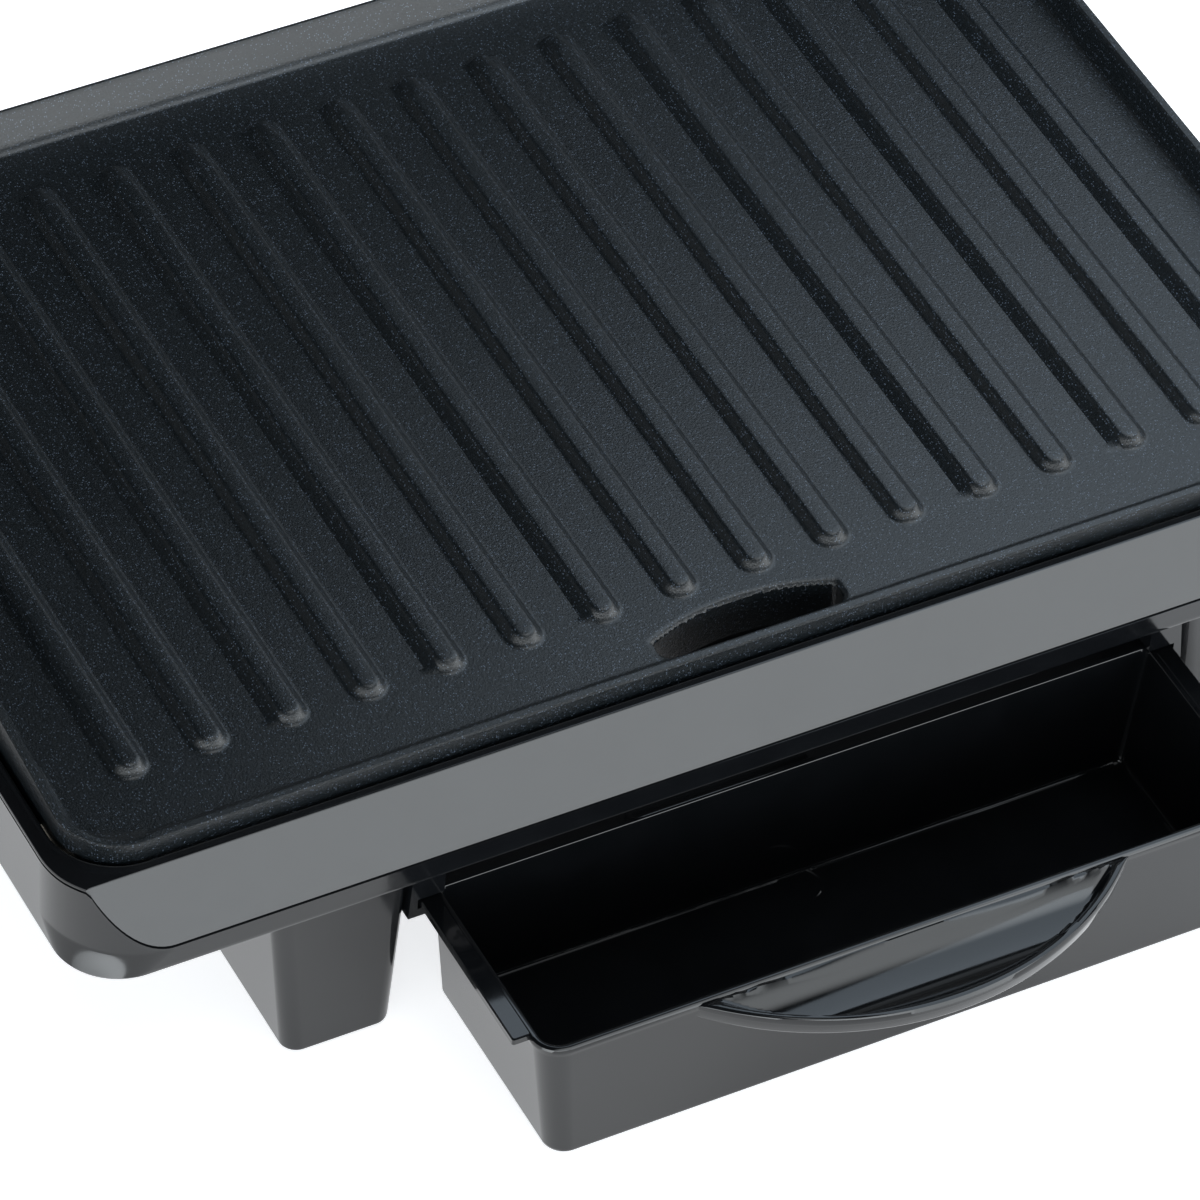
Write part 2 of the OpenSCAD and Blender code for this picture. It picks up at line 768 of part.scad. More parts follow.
module drip_drawer() {
    half = drawer_w / 2;
    handle_half = sqrt(pow(handle_r, 2) - pow(handle_r - handle_reach, 2));
    bow_y = drawer_front + sqrt(pow(handle_r, 2) - pow(handle_half, 2));
    color(gloss_black) difference() {
        union() {
            drawer_form(0, drawer_foot, drawer_top);
            for (s = [0, 1])
                mirror([s, 0, 0])
                    translate([half - flange_w - 1, drawer_front + flange_back,
                               drawer_top - flange_t])
                        cube([flange_w + 1, drawer_d - flange_back, flange_t]);
            translate([-back_lip[0] / 2, drawer_front + drawer_d - 1, drawer_top - flange_t])
                cube([back_lip[0], back_lip[1] + 1, flange_t]);
            intersection() {
                translate([0, bow_y, drawer_top - handle_t])
                    cylinder(h = handle_t, r = handle_r, $fn = 180);
                handle_side(0.5);
            }
        }
        drawer_form(drawer_wall, drawer_foot + drawer_wall, drawer_top + 0.1);
        intersection() {
            translate([0, bow_y, drawer_top - handle_t + 1])
                cylinder(h = handle_t, r = handle_r - dish_lip, $fn = 180);
            rod_x(-60, 60, drawer_front + dish_y, drawer_top + dish_z, dish_r);
            handle_side(-0.2);
        }
    }
}

// The drawer's leaning body, drawn in by an inset, squarer at its back
module drawer_form(inset, z0, z1) {
    top = [drawer_w - 2 * flange_w - 2 * inset, drawer_d - 2 * inset];
    foot = [top[0] - 2 * drawer_draft, top[1] - drawer_lean];
    top_y = drawer_front + drawer_d / 2;
    foot_y = top_y - 0.2;
    leaning_block(foot, [0, foot_y], top, [0, top_y], drawer_r - inset, z0, z1);
    leaning_block([foot[0], foot[1] / 2], [0, foot_y + foot[1] / 4],
                  [top[0], top[1] / 2], [0, top_y + top[1] / 4],
                  drawer_back_r - inset / 5, z0, z1);
}

// Everything in front of the drawer's front wall, with a margin behind it
module handle_side(margin) {
    reach = 40;
    translate([-drawer_w / 2, drawer_front - reach, 0])
        cube([drawer_w, reach + margin, drawer_top + 20]);
}

base_frame();
bottom_cover();
front_left_leg();
front_right_leg();
rear_left_leg();
rear_right_leg();
front_left_pad();
front_right_pad();
rear_left_pad();
rear_right_pad();
drawer_rail_left();
drawer_rail_right();
reflector_pan();
pan_spacers();
heating_element();
element_saddles();
element_insulators();
crimp_sleeves();
plate_seats();
drip_chute();
thermostat_body();
bushing_nut();
dial_ring();
thermostat_shaft();
control_knob();
pilot_lens();
pilot_lamp();
lamp_leads();
thermal_fuse();
wire_live();
wire_heater();
wire_return();
wire_earth();
earth_tab();
terminal_block();
cord_gland();
gland_nut();
bottom_screws();
leg_screws();
rail_screws();
pan_screws();
grill_plate();
drip_drawer();
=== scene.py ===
"""Looks of the electric griddle: meshes, surfaces, light and camera around the CAD frame.

Shapes are worked out in millimetres in the CAD's own frame and turned into metres
when a mesh is made. +X is to the user's right, +Y to the back, +Z up.
"""

import json
from math import cos, hypot, pi, radians, sin, sqrt

import bmesh
import bpy
from mathutils import Matrix, Vector


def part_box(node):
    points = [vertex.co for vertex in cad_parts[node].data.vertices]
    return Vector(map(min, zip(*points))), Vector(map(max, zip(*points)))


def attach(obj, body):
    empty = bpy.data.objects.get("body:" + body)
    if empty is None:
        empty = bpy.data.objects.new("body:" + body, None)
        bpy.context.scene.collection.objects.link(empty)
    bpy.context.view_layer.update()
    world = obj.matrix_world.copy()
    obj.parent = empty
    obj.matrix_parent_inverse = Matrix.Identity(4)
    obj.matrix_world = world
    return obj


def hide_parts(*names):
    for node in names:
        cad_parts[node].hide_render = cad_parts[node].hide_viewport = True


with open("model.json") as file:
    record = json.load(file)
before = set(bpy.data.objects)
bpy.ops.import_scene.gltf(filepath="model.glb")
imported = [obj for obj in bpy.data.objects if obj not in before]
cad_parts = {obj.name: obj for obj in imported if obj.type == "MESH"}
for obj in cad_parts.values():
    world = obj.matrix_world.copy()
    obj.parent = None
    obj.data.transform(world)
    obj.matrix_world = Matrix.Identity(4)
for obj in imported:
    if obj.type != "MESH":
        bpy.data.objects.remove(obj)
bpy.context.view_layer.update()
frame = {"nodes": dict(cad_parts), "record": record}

MM = 0.001
CREASE_ANGLE = 32
SAME_POINT = 0.002
EMPTY_EDGE = 0.001


def box_mm(node):
    """Lowest and highest corner of a CAD node in millimetres."""
    lo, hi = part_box(node)
    return Vector(lo) / MM, Vector(hi) / MM


def middle_mm(node):
    """Middle of a CAD node's box in millimetres."""
    lo, hi = box_mm(node)
    return (lo + hi) / 2


# ---------------------------------------------------------------- mesh helpers

def arc(cx, cy, r, start, sweep, steps):
    """Points round a centre, from a start angle through a sweep, in degrees."""
    r = max(r, 0.05)
    turns = [radians(start + sweep * i / steps) for i in range(steps + 1)]
    return [(cx + r * cos(a), cy + r * sin(a)) for a in turns]


def ring(x0, x1, y0, y1, r, corner=12, back_r=None):
    """A rounded rectangle as a list of (x, y), anticlockwise from the front-left corner."""
    b = r if back_r is None else back_r
    return (arc(x0 + r, y0 + r, r, 180, 90, corner) + arc(x1 - r, y0 + r, r, 270, 90, corner)
            + arc(x1 - b, y1 - b, b, 0, 90, corner) + arc(x0 + b, y1 - b, b, 90, 90, corner))


def at_height(points, z):
    """Lifts (x, y) points to one height."""
    return [(x, y, z) for x, y in points]


def loft(loops, closed=False):
    """Vertices and faces through loops of equal length; open lofts get flat caps."""
    n = len(loops[0])
    verts = [p for loop in loops for p in loop]
    faces = []
    for k in range(len(loops) if closed else len(loops) - 1):
        a, b = k * n, ((k + 1) % len(loops)) * n
        for i in range(n):
            j = (i + 1) % n
            faces.append((a + i, a + j, b + j, b + i))
    if not closed:
        faces.append(tuple(reversed(range(n))))
        faces.append(tuple((len(loops) - 1) * n + i for i in range(n)))
    return verts, faces


def make(name, shape):
    """A mesh object from (vertices, faces) in millimetres, smooth but for its creases."""
    verts, faces = shape
    mesh = bpy.data.meshes.new(name)
    mesh.from_pydata([tuple(c * MM for c in v) for v in verts], [], faces)
    obj = bpy.data.objects.new(name, mesh)
    bpy.context.scene.collection.objects.link(obj)
    tidy(obj)
    return obj


def tidy(obj):
    """Merges doubled points, drops empty faces, turns faces outwards and sets smooth shading."""
    bm = bmesh.new()
    bm.from_mesh(obj.data)
    bmesh.ops.remove_doubles(bm, verts=bm.verts, dist=SAME_POINT * MM)
    bmesh.ops.dissolve_degenerate(bm, edges=bm.edges, dist=EMPTY_EDGE * MM)
    bmesh.ops.recalc_face_normals(bm, faces=bm.faces)
    bm.to_mesh(obj.data)
    bm.free()
    obj.data.shade_smooth()
    obj.data.set_sharp_from_angle(angle=radians(CREASE_ANGLE))


def combine(target, tools, operation):
    """Unites the tools with the target, or cuts them out of it, and leaves one closed mesh."""
    for tool in tools:
        step = target.modifiers.new(operation, "BOOLEAN")
        step.operation = operation
        step.solver = "EXACT"
        step.object = tool
    bpy.context.view_layer.update()
    solved = target.evaluated_get(bpy.context.evaluated_depsgraph_get())
    mesh = bpy.data.meshes.new_from_object(solved)
    target.modifiers.clear()
    target.data = mesh
    for tool in tools:
        bpy.data.objects.remove(tool, do_unlink=True)
    tidy(target)


def block(x0, x1, y0, y1, z0, z1, r=0.4):
    """A block with rounded upright corners and softened edges, as a tool or a small part."""
    soft = min(r, 0.3)
    loops = []
    for inset, z in ((soft, z0), (0, z0 + soft), (0, z1 - soft), (soft, z1)):
        loops.append(at_height(ring(x0 + inset, x1 - inset, y0 + inset, y1 - inset,
                                    r - inset * 0.5, 4), z))
    return loft(loops)


def prism_x(outline, x0, x1):
    """A (y, z) outline drawn out along X."""
    return loft([[(x, y, z) for y, z in outline] for x in (x0, x1)])


def tube(cx, cy, z0, z1, r, sides=40, axis="z"):
    """A plain round bar, used as a cutting tool or a boss."""
    loops = []
    for h in (z0, z1):
        loop = []
        for i in range(sides):
            a, b = r * cos(2 * pi * i / sides), r * sin(2 * pi * i / sides)
            loop.append({"z": (cx + a, cy + b, h), "y": (cx + a, h, cy + b),
                         "x": (h, cx + a, cy + b)}[axis])
        loops.append(loop)
    return loft(loops)


def smooth(t):
    """A soft step from 0 to 1."""
    t = min(max(t, 0.0), 1.0)
    return t * t * (3 - 2 * t)


def soft_normals(obj):
    """Keeps the big flat faces flat beside their rounded edges."""
    step = obj.modifiers.new("even shading", "WEIGHTED_NORMAL")
    step.keep_sharp = True
    step.weight = 60


# ---------------------------------------------------------------- base shell

# Wall and outline
WALL = 2.6
UPPER_R = 21.0
FOOT_R = 14.5
FLARE_H = 5.0
FLARE_STEPS = 8
POD_R = 5.0
NOOK_R = 1.0
CORNER_STEPS = 26
POD_STEPS = 12
NOOK_STEPS = 6

# Front band, the groove under it and the ledge round the plate
BAND_SLOPE = 2.0
BAND_TOP_IN = 8.0
GROOVE = 0.7
LEDGE_SINK = 0.35
LEDGE_BLEND = 6.0
DECK_T = 2.5
WELL_GAP = 1.1
PLATE_R = 14.0

# Finger hollow
GRIP_IN = 12.0
GRIP_HALF = 71.0
GRIP_RAMP = 6.0
GRIP_H = 10.0

# Bosses, seats and holes
BOSS_R = 3.6
BOSS_Z = (55, 66)
PILOT_R = 1.5
PILOT_Z = (54, 64)
SCREW_IN = 5.9
FRONT_SCREW_IN = 9.0
SEAT_Y = 86
SEAT_HALF = 8
SEAT_OVERLAP = 6.4
SEAT_Z = (62, 67.9)
DIVIDER_T = 2.5
DIVIDER_FOOT = 57
BUSHING_HOLE_R = 4.6
LENS_HOLE_R = 2.5
GLAND_HOLE_R = 5.6
FLANGE_T = 2.5
PIN_R = 2.6
PIN_HOLE_R = 2.8
WIRE_R = 1.2
WIRE_HOLE_R = 1.5

base_lo, base_hi = box_mm("base_frame")
plate_lo, plate_hi = box_mm("grill_plate")
plate_x = (plate_lo.x + plate_hi.x) / 2
band_top_y = base_lo.y + BAND_TOP_IN
band_shift = base_hi.z - BAND_SLOPE * band_top_y
right_x = 2 * plate_x + base_hi.x
pod_back = box_mm("cord_gland")[1].y - FLANGE_T


def base_ring(inset, r):
    """The base's outline: a rounded rectangle with the control pod at its front right."""
    x0, x1, y0, y1 = (base_lo.x + inset, base_hi.x - inset, base_lo.y + inset,
                      base_hi.y - inset)
    wall_x, pod_y = right_x - inset, pod_back - inset
    pod_r, nook_r = POD_R - inset, NOOK_R + inset
    return (arc(x0 + r, y0 + r, r, 180, 90, CORNER_STEPS)
            + arc(x1 - r, y0 + r, r, 270, 90, CORNER_STEPS)
            + arc(x1 - pod_r, pod_y - pod_r, pod_r, 0, 90, POD_STEPS)
            + arc(wall_x + nook_r, pod_y + nook_r, nook_r, 270, -90, NOOK_STEPS)
            + arc(wall_x - r, y1 - r, r, 0, 90, CORNER_STEPS)
            + arc(x0 + r, y1 - r, r, 90, 90, CORNER_STEPS))


def well_ring(out):
    """The plate's well, with as many points as the base's outline and beside them."""
    gap = WELL_GAP + out
    x0, x1, y0, y1 = (plate_lo.x - gap, plate_hi.x + gap, plate_lo.y - gap, plate_hi.y + gap)
    r = PLATE_R + gap
    beside_pod = [(x1, pod_back - 35 + 20 * i / POD_STEPS) for i in range(POD_STEPS + 1)]
    beside_nook = [(x1, pod_back - 11 + 16 * i / NOOK_STEPS) for i in range(NOOK_STEPS + 1)]
    return (arc(x0 + r, y0 + r, r, 180, 90, CORNER_STEPS)
            + arc(x1 - r, y0 + r, r, 270, 90, CORNER_STEPS) + beside_pod + beside_nook
            + arc(x1 - r, y1 - r, r, 0, 90, CORNER_STEPS)
            + arc(x0 + r, y1 - r, r, 90, 90, CORNER_STEPS))


def banded(points, heights, shift):
    """Lifts outline points to their heights, held behind the leaning front band."""
    return [(x, max(y, (z - shift) / BAND_SLOPE), z) for (x, y), z in zip(points, heights)]


def base_shell():
    """The housing's skin in one closed loft: up the outside, over the ledge, down the inside."""
    top, foot = base_hi.z, base_lo.z
    outer = base_ring(0, UPPER_R)
    groove = base_ring(GROOVE, UPPER_R - GROOVE)
    sunk = [smooth((y - band_top_y) / LEDGE_BLEND) for _, y in outer]
    ledge = [top - LEDGE_SINK * k for k in sunk]
    crease = [min(band_shift + BAND_SLOPE * y, h - 1.0) for (_, y), h in zip(outer, ledge)]

    def beside_crease(points, rise):
        return [(x, y, z + rise) for (x, y), z in zip(points, crease)]

    loops = [at_height(base_ring(inset, FOOT_R), foot + rise)
             for inset, rise in ((0.6, 0), (0.18, 0.15), (0, 0.6))]
    for i in range(1, FLARE_STEPS + 1):
        t = i / FLARE_STEPS
        loops.append(at_height(base_ring(0, FOOT_R + (UPPER_R - FOOT_R) * t * (1.2 - 0.2 * t)),
                               foot + 0.6 + FLARE_H * t))
    loops[-1] = [(x, y, min(z, c - 0.7)) for (x, y, z), c in zip(loops[-1], crease)]
    loops += [beside_crease(outer, -0.6), beside_crease(outer, -0.3),
              beside_crease(groove, -0.1), beside_crease(groove, 0.15)]
    loops += [banded(outer, [z + rise for z in crease], band_shift) for rise in (0.3, 0.5)]
    for inset, drop in ((0.0, 0.4), (0.13, 0.12), (0.4, 0), (0.6, 0)):
        loops.append([(x, max(y, band_top_y - (top - h) / BAND_SLOPE + inset), h - drop)
                      for (x, y), h in zip(base_ring(inset, UPPER_R - inset), ledge)])
    for out, drop in ((1.3, 1.0), (1.1, 0.75), (0.9, 0.25), (0.7, 0)):
        loops.append([(x, y, top - LEDGE_SINK * k * drop)
                      for (x, y), k in zip(well_ring(out), sunk)])
    for out, drop in ((0.5, 0), (0.15, 0.15), (0, 0.5), (0, DECK_T)):
        loops.append(at_height(well_ring(out), top - drop))
    inner = base_ring(WALL, UPPER_R - WALL)
    inner_shift = band_shift - WALL * sqrt(1 + BAND_SLOPE ** 2)
    turn = [min(inner_shift + BAND_SLOPE * y, top - DECK_T - 0.3) for _, y in inner]
    loops.append(banded(inner, [top - DECK_T] * len(inner), inner_shift))
    loops.append(banded(inner, turn, inner_shift))
    loops.append(at_height(inner, foot + 0.3))
    loops.append(at_height(base_ring(WALL - 0.3, UPPER_R - WALL), foot))
    return loft(loops, closed=True)


def grip_outline(grow):
    """The finger hollow seen from the side, as (y, z)."""
    half = GRIP_HALF + grow
    foot, top = base_lo.z, base_lo.z + GRIP_H
    return [(-half - 0.5, foot - 1), (half + 0.5, foot - 1),
            (half - GRIP_RAMP, top + grow), (-half + GRIP_RAMP, top + grow)]


def build_base():
    shell = make("housing_shell", base_shell())
    well_right = plate_hi.x + WELL_GAP
    deck = base_hi.z - DECK_T
    knob, lens, gland = (middle_mm(n) for n in ("control_knob", "pilot_lens", "cord_gland"))
    pins_lo = box_mm("element_insulators")[0]
    pin_z = middle_mm("element_insulators").z
    return_lo = box_mm("wire_return")[0]
    earth_hi = box_mm("wire_earth")[1]
    side_x, front_y, back_y = (base_lo.x + SCREW_IN, base_lo.y + FRONT_SCREW_IN,
                               base_hi.y - SCREW_IN)
    screws = [(side_x, -95), (side_x, 95), (well_right + 5.5, -66), (right_x - 7, 99),
              (-80, front_y), (70, front_y), (-10, back_y)]

    wall = [(y, max(z, base_lo.z + 0.3)) for y, z in grip_outline(WALL)]
    parts = [make("grip_wall", prism_x(wall, base_lo.x + 1, base_lo.x + GRIP_IN + WALL)),
             make("divider", block(well_right, well_right + DIVIDER_T, base_lo.y + 12,
                                   pod_back - 2, DIVIDER_FOOT, deck + 0.4, 0.2))]
    for x, y in screws:
        parts.append(make("boss", tube(x, y, *BOSS_Z, BOSS_R)))
    for y in (-SEAT_Y, SEAT_Y):
        for x0, x1 in ((base_lo.x + WALL - 0.2, plate_lo.x + SEAT_OVERLAP),
                       (plate_hi.x - SEAT_OVERLAP, well_right + 1.5)):
            parts.append(make("seat_ledge", block(x0, x1, y - SEAT_HALF, y + SEAT_HALF,
                                                  *SEAT_Z, 0.5)))
    combine(shell, parts, "UNION")

    cuts = [make("grip_cut", prism_x(grip_outline(0), base_lo.x - 2, base_lo.x + GRIP_IN))]
    for x, y in screws:
        cuts.append(make("pilot", tube(x, y, *PILOT_Z, PILOT_R)))
    for name, x, y, r in (("bushing_hole", knob.x, knob.y, BUSHING_HOLE_R),
                          ("lens_hole", knob.x, lens.y, LENS_HOLE_R)):
        cuts.append(make(name, tube(x, y, deck - 1, deck + 4, r)))
    cuts.append(make("gland_hole", tube(gland.x, gland.z, pod_back - 5, pod_back + 2,
                                        GLAND_HOLE_R, axis="y")))
    for y, z, r in ((pins_lo.y + PIN_R, pin_z, PIN_HOLE_R),
                    (return_lo.y + WIRE_R, pin_z, WIRE_HOLE_R),
                    (middle_mm("wire_earth").y, earth_hi.z - WIRE_R, WIRE_HOLE_R)):
        cuts.append(make("wire_hole", tube(y, z, well_right - 1, well_right + 4, r, 24,
                                           axis="x")))
    combine(shell, cuts, "DIFFERENCE")
    soft_normals(shell)
    return shell


# ---------------------------------------------------------------- grill plate

# Ribs: how many, how far apart, and the shape across one
RIBS = 16
PITCH = 18.0
RIB_HALF = 3.5
RIB_H = 2.4
RIB_CROWN_HALF = 1.9
RIB_CROWN_SAG = 0.28
RIB_FOOT_BLEND = 1.1
RIB_FOOT_IN = 0.25
RIB_START = 18.5
RIB_LENGTH = 169.0

# Rim: low in front, rising along the sides to its full height
EDGE_R = 0.32
LIP = 1.0
RIM = 8.0
RIM_RUN = 61.0
RIM_WIDTH = 7.0
SIDE_TOP = 1.7
SIDE_RUN = 1.6
SIDE_LEAN = 0.12
BACK_TOP = 0.9
BACK_FOOT = 4.6
BACK_FOOT_SHARE = 0.16
BACK_FILLET = 2.2

# Drip slot, with its rounded edge, and the collar under it
SLOT_HALF = 21.5
SLOT_ARC = 55.0
SLOT_IN = 8.5
SLOT_DEEP = 10.0
SLOT_R = 3.0
SLOT_EDGE = 1.3
SLOT_POINTS = 140
COLLAR = (24.5, 6.5)

# Casting under the cooking face
SKIRT_FOOT = 5.0
SKIRT_T = 3.0
FACE_T = 3.5

# Grid of the top face: fine at the edge, middling over ribs and slot, coarse elsewhere
EDGE_STEP = 0.35
RIB_STEP = 0.45
FLAT_STEP_X = 2.0
FLAT_STEP_Y = 5.0
EDGE_ZONE = 7.5
RIB_END_ZONE = 6.0

COOK_Z = plate_hi.z - RIM
slot_y = plate_lo.y + SLOT_IN
ribs_front = plate_lo.y + RIB_START
ribs_back = ribs_front + RIB_LENGTH


def slot_distance(x, y):
    """How far a point lies outside the drip slot's outline; negative inside."""
    dx, dy = abs(x - plate_x), y - slot_y
    qx, qy = dx - SLOT_HALF + SLOT_R, abs(dy) - SLOT_DEEP / 2 + SLOT_R
    rect = hypot(max(qx, 0), max(qy, 0)) + min(max(qx, qy), 0) - SLOT_R
    bow = hypot(dx, dy - SLOT_DEEP / 2 + SLOT_ARC) - SLOT_ARC
    return max(rect, bow)


def rib_middle(x):
    """The middle line of the rib nearest to x."""
    i = min(max(round((x - plate_x) / PITCH + (RIBS - 1) / 2), 0), RIBS - 1)
    return plate_x + (i - (RIBS - 1) / 2) * PITCH


def rib_height(x, y):
    """Height of the nearest rib at a point: a low dome with a soft foot."""
    nearest_y = min(max(y, ribs_front + RIB_HALF), ribs_back - RIB_HALF)
    d = hypot(x - rib_middle(x), y - nearest_y)
    if d >= RIB_HALF + RIB_FOOT_BLEND:
        return 0.0
    crown = RIB_H - RIB_CROWN_SAG * (d / RIB_HALF) ** 2
    if d <= RIB_CROWN_HALF:
        return crown
    foot = RIB_HALF + RIB_FOOT_BLEND - RIB_FOOT_IN
    return crown * (1 - smooth((d - RIB_CROWN_HALF) / (foot - RIB_CROWN_HALF)))


def rim_height(d, y, back):
    """Height over the cooking floor at a distance d in from the plate's edge."""
    rise = LIP + (RIM - LIP) * min(max((y - plate_lo.y) / RIM_RUN, 0.0), 1.0)
    over = min(rise, EDGE_R)
    soften = 0.0 if d >= EDGE_R else over * (1 - sqrt(1 - (1 - d / EDGE_R) ** 2))
    side = 1 - smooth((d - SIDE_TOP) / (SIDE_RUN + rise * SIDE_LEAN))
    if d < BACK_TOP:
        slope = 1.0
    elif d < BACK_FOOT:
        slope = 1 - (1 - BACK_FOOT_SHARE) * (d - BACK_TOP) / (BACK_FOOT - BACK_TOP)
    else:
        slope = BACK_FOOT_SHARE * (1 - min((d - BACK_FOOT) / BACK_FILLET, 1)) ** 2
    return (side * (1 - back) + slope * back) * rise - soften


def corner_map(x, y):
    """Bends a square grid's corner patches into the plate's round corners.

    Gives the bent point and how far it has turned towards the back, in degrees.
    """
    mid = (plate_lo.y + plate_hi.y) / 2
    sx, sy = (1 if x > plate_x else -1), (1 if y > mid else -1)
    cx = plate_hi.x - PLATE_R if sx > 0 else plate_lo.x + PLATE_R
    cy = plate_hi.y - PLATE_R if sy > 0 else plate_lo.y + PLATE_R
    a, b = (x - cx) * sx, (y - cy) * sy
    if a <= 0 or b <= 0:
        return x, y, (90.0 if sy > 0 and a <= b else 0.0)
    m = max(a, b)
    angle = pi / 4 * (b / a) if a >= b else pi / 2 - pi / 4 * (a / b)
    return cx + sx * m * cos(angle), cy + sy * m * sin(angle), angle * 180 / pi


def grid_lines(step_of, lo, hi, fixed=()):
    """Grid places from lo to hi, with a step that varies and stops at the fixed places."""
    lines = [lo]
    while lines[-1] < hi - 1e-6:
        step_end = min(lines[-1] + step_of(lines[-1]), hi)
        for f in fixed:
            if lines[-1] + 1e-6 < f < step_end - 1e-6:
                step_end = f
        lines.append(step_end)
    return lines


def step_x(x):
    if min(x - plate_lo.x, plate_hi.x - x) < EDGE_ZONE:
        return EDGE_STEP
    near_rib = abs(x + 0.01 - rib_middle(x + 0.01)) < RIB_HALF + RIB_FOOT_BLEND + 0.3
    near_slot = abs(x - plate_x) < SLOT_HALF + 2.5
    return RIB_STEP if near_rib or near_slot else FLAT_STEP_X


def step_y(y):
    if min(y - plate_lo.y, plate_hi.y - y) < EDGE_ZONE:
        return EDGE_STEP
    near_ends = y < ribs_front + RIB_END_ZONE or y > ribs_back - RIB_END_ZONE
    return RIB_STEP if near_ends else FLAT_STEP_Y


def top_point(x, y):
    """A grid place as a point on the plate's top face."""
    px, py, turned = corner_map(x, y)
    d = min(x - plate_lo.x, plate_hi.x - x, y - plate_lo.y, plate_hi.y - y)
    z = COOK_Z + rim_height(d, py, smooth((turned - 25) / 45))
    if d > RIM_WIDTH:
        z += rib_height(px, py)
    gap = slot_distance(px, py)
    if gap < SLOT_EDGE and d > 1.2:
        drop = SLOT_EDGE - max(gap, 0.0)
        z -= SLOT_EDGE - sqrt(max(SLOT_EDGE ** 2 - drop ** 2, 0.0))
    return px, py, z


def plate_top():
    """The plate: the top face as a fine grid, the skirt round it and a flat underside."""
    xs = grid_lines(step_x, plate_lo.x, plate_hi.x)
    ys = grid_lines(step_y, plate_lo.y, plate_hi.y, [ribs_back - RIB_END_ZONE])
    nx, ny = len(xs), len(ys)
    verts = [top_point(x, y) for y in ys for x in xs]
    faces = [(j * nx + i, j * nx + i + 1, (j + 1) * nx + i + 1, (j + 1) * nx + i)
             for j in range(ny - 1) for i in range(nx - 1)]
    rim = (list(range(nx)) + [j * nx + nx - 1 for j in range(1, ny)]
           + [(ny - 1) * nx + i for i in range(nx - 2, -1, -1)]
           + [j * nx for j in range(ny - 2, 0, -1)])
    edge = [verts[v][:2] for v in rim]

    def shrunk(inset, z):
        loop = []
        for px, py in edge:
            cx = min(max(px, plate_lo.x + PLATE_R), plate_hi.x - PLATE_R)
            cy = min(max(py, plate_lo.y + PLATE_R), plate_hi.y - PLATE_R)
            k = (PLATE_R - inset) / max(hypot(px - cx, py - cy), 1e-6)
            loop.append((cx + (px - cx) * k, cy + (py - cy) * k, z))
        return loop

    foot, under = plate_lo.z + SKIRT_FOOT, COOK_Z - FACE_T
    n = len(rim)
    previous = rim
    for inset, z in ((0, foot + 0.4), (0.3, foot), (SKIRT_T - 0.3, foot), (SKIRT_T, foot + 0.3),
                     (SKIRT_T, under - 0.5), (SKIRT_T + 0.5, under)):
        current = list(range(len(verts), len(verts) + n))
        verts += shrunk(inset, z)
        faces += [(previous[i], current[i], current[(i + 1) % n], previous[(i + 1) % n])
                  for i in range(n)]
        previous = current
    faces.append(tuple(reversed(previous)))
    return verts, faces


def slot_outline(grow):
    """The drip slot's outline as points, found outwards from its middle."""
    points = []
    for i in range(SLOT_POINTS):
        a = 2 * pi * i / SLOT_POINTS
        ux, uy = cos(a), sin(a)
        lo, hi = 0.0, SLOT_HALF + 6
        for _ in range(40):
            mid = (lo + hi) / 2
            if slot_distance(plate_x + ux * mid, slot_y + uy * mid) < grow:
                lo = mid
            else:
                hi = mid
        points.append((plate_x + ux * lo, slot_y + uy * lo))
    return points


def build_plate():
    plate = make("nonstick_plate", plate_top())
    half_x, half_y = COLLAR
    collar = make("drip_collar", block(plate_x - half_x, plate_x + half_x, slot_y - half_y,
                                       slot_y + half_y, plate_lo.z, COOK_Z - 3, 1.5))
    combine(plate, [collar], "UNION")
    outline = slot_outline(0.02)
    cutter = make("slot_cut", loft([at_height(outline, plate_lo.z - 1),
                                    at_height(outline, plate_hi.z + 2)]))
    combine(plate, [cutter], "DIFFERENCE")
    soft_normals(plate)
    return plate


# ---------------------------------------------------------------- drip drawer

# Box of the drawer
DRAWER_DEEP = 53.5
DRAFT = 4.1
FRONT_DRAFT = 0.9
BACK_DRAFT = 0.5
BACK_CORNER_R = 1.4
DRAWER_FLOOR = 2.0

# Flanges that run in the rails, and the lip along the back
SLIDE_W = 3.4
SLIDE_T = 2.0
SLIDE_START = 7.2
SLIDE_SUNK = 0.05
BACK_LIP = 4.0

# Handle: a round lip with a bead at its edge and a dish along it
HANDLE_R = 72.0
HANDLE_REACH = 45.8
HANDLE_T = 5.0
HANDLE_DIP = 0.6
HANDLE_ACROSS = 22
HANDLE_ALONG = 72
BEAD_R = 0.8
BEAD_W = 1.3
DISH_BLEND = 2.4
DISH_R = 15.5
DISH_AT = (-162.0, 47.8)

# Moulding mark on the drawer's floor: radius and height of each ring, from outside in
GATE_Y = -105
GATE_RINGS = ((5.0, 3.4), (5.0, 3.62), (4.8, 3.78), (4.3, 3.8), (4.0, 3.7))
GATE_POINTS = 48

drawer_lo, drawer_hi = box_mm("drip_drawer")
drawer_back = drawer_hi.y - BACK_LIP
rim_front = drawer_back - DRAWER_DEEP
rim_top = drawer_hi.z
arc_y = drawer_lo.y + HANDLE_R


